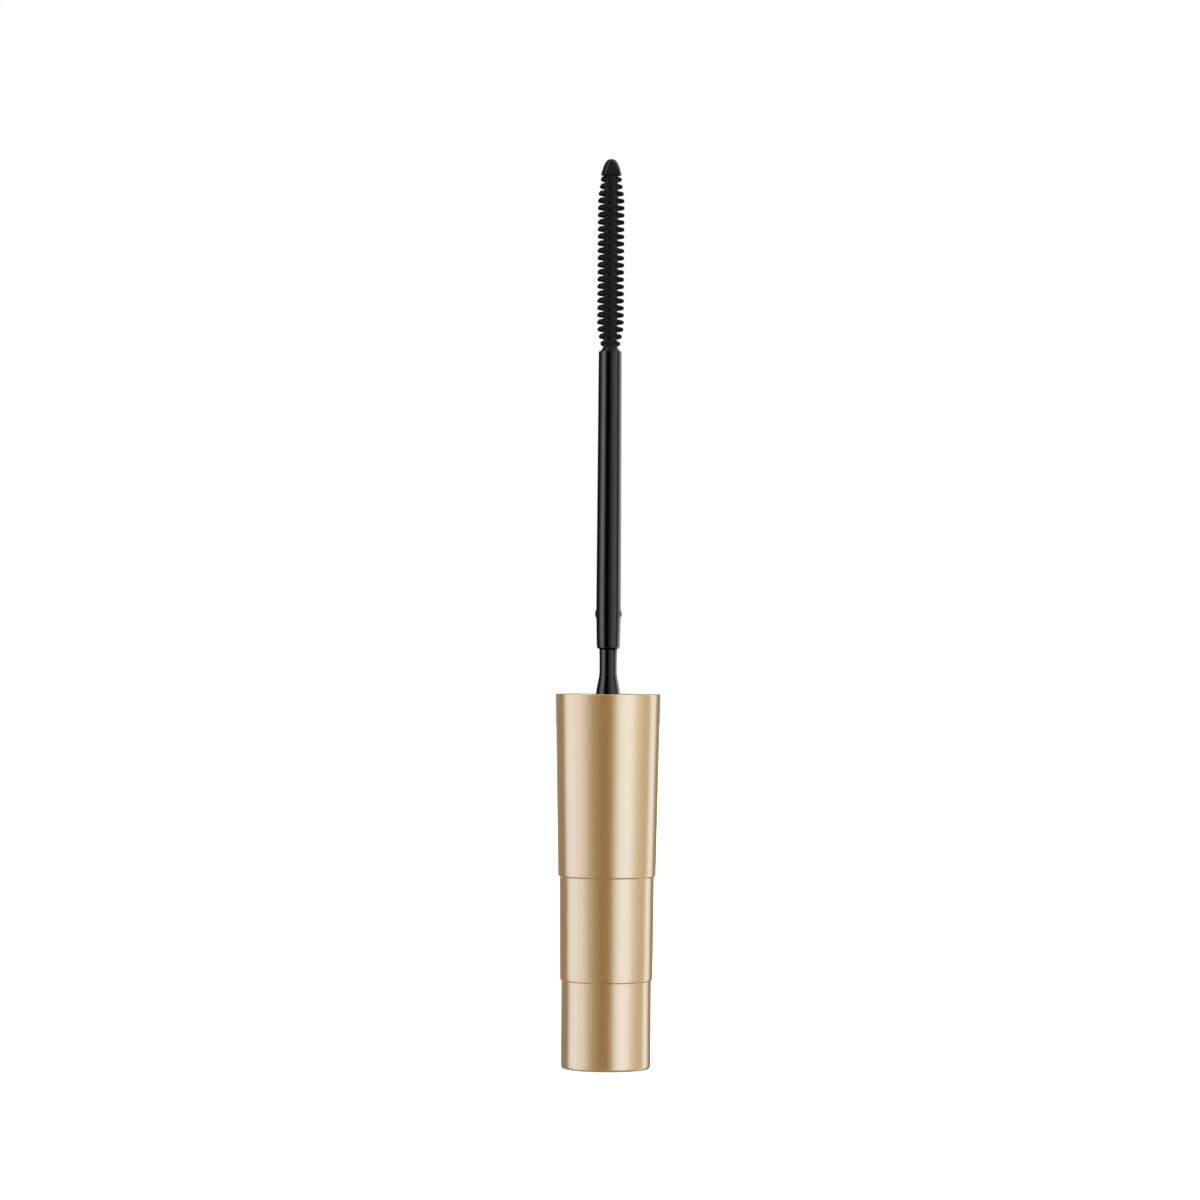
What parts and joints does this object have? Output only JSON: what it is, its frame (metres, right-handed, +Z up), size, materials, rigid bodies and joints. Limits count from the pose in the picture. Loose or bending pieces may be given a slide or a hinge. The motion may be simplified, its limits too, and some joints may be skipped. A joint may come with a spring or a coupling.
{
  "type": "mascara applicator cap and wand",
  "caption": "Slim mascara applicator: tiered metal screw cap, flexible neck, tube stem and moulded comb brush with a bullet tip.",
  "frame": {"origin": "centre of the cap's closed end, which the applicator stands on", "axes": "+Z up along the wand, towards the brush's tip; one smooth face of the brush points 14 degrees from -Y towards +X"},
  "size_m": [0.0159, 0.0158, 0.1378],
  "materials": {
    "gold_shell": "satin gold anodised, fine circumferential polish",
    "cap_insert": "black moulded plastic",
    "seal": "matt dark grey elastomer",
    "neck": "glossy black flexible plastic",
    "gloss_stem": "glossy black plastic",
    "brush": "semi-matt black elastomer"
  },
  "bodies": {
    "cap": {"overcap": "gold_shell", "inner_cap": "cap_insert", "seal_ring": "seal", "stem_neck": "neck"},
    "stem": {"stem_tube": "gloss_stem", "brush_root": "brush"},
    "brush": {"brush": "brush"}
  },
  "joints": [
    {"name": "neck_flex", "type": "hinge", "parent": "cap", "child": "stem", "pos_m": [0, 0, 0.0612], "axis": [0, 1, 0], "range_deg": [-8, 8], "stiffness_Nm_per_rad": 0.4, "deforming": ["stem_neck"]},
    {"name": "brush_flex", "type": "hinge", "parent": "stem", "child": "brush", "pos_m": [0, 0, 0.1125], "axis": [0, 1, 0], "range_deg": [-20, 20], "stiffness_Nm_per_rad": 0.013, "deforming": ["brush_root"]}
  ]
}
